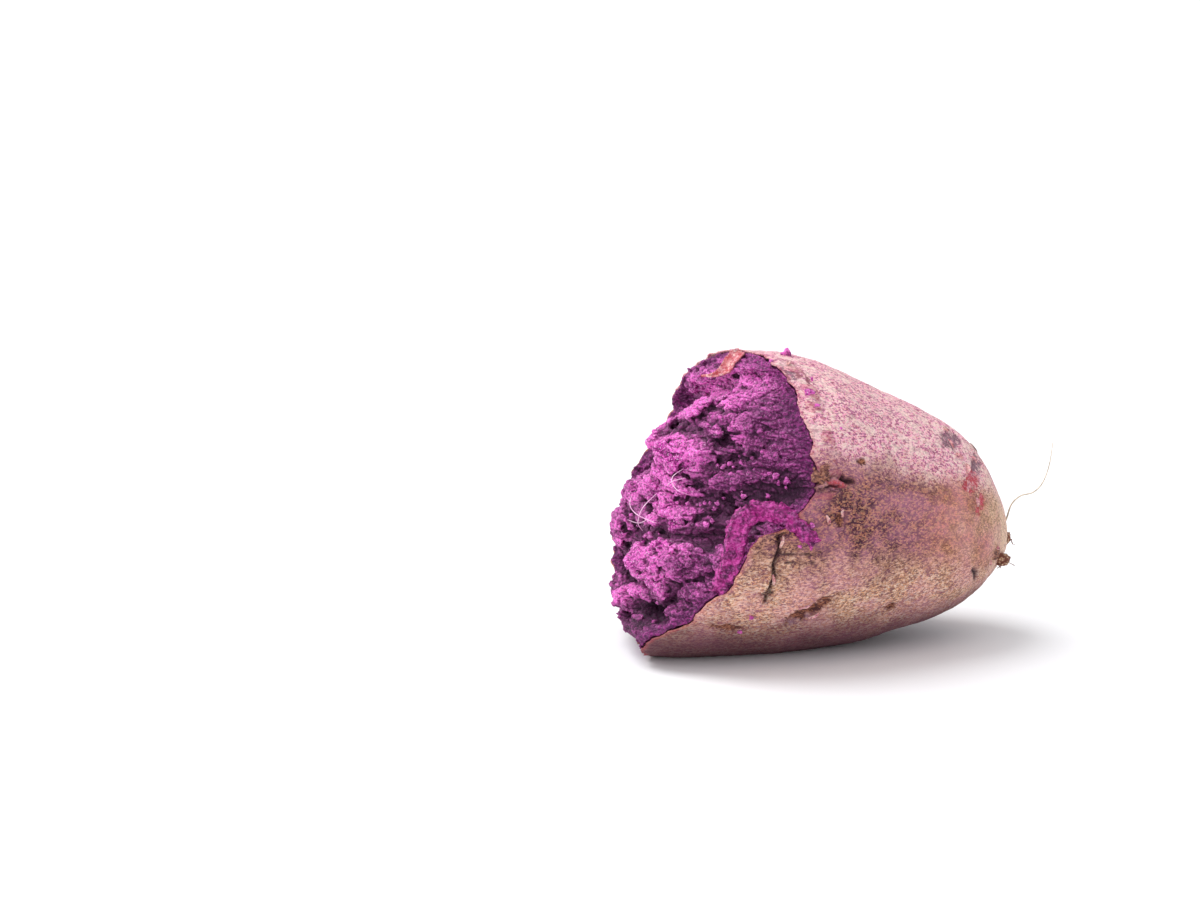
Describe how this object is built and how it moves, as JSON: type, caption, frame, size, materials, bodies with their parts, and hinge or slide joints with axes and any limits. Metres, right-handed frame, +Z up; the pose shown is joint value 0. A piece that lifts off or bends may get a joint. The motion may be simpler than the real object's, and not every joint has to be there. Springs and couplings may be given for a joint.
{
  "type": "broken purple sweet potato half",
  "caption": "Half of a cooked purple-fleshed sweet potato, broken across the middle, with torn magenta flesh, thin scarred skin and a hair root at the tip.",
  "frame": {"origin": "on the flat patch that the tuber rests on, under its widest part, at table height", "axes": "+X along the tuber from the break to the root tip, +Y to the left of that, +Z up"},
  "size_m": [0.0993, 0.0631, 0.0639],
  "materials": {
    "skin": "matte dusty skin, pink on the back and tan on the belly, speckled purple-grey",
    "flesh": "moist torn cooked flesh, magenta to deep purple",
    "rootlet": "matte dry fibre"
  },
  "bodies": {
    "root": {"tuber_half": "skin", "rootlet": "rootlet"}
  },
  "joints": []
}
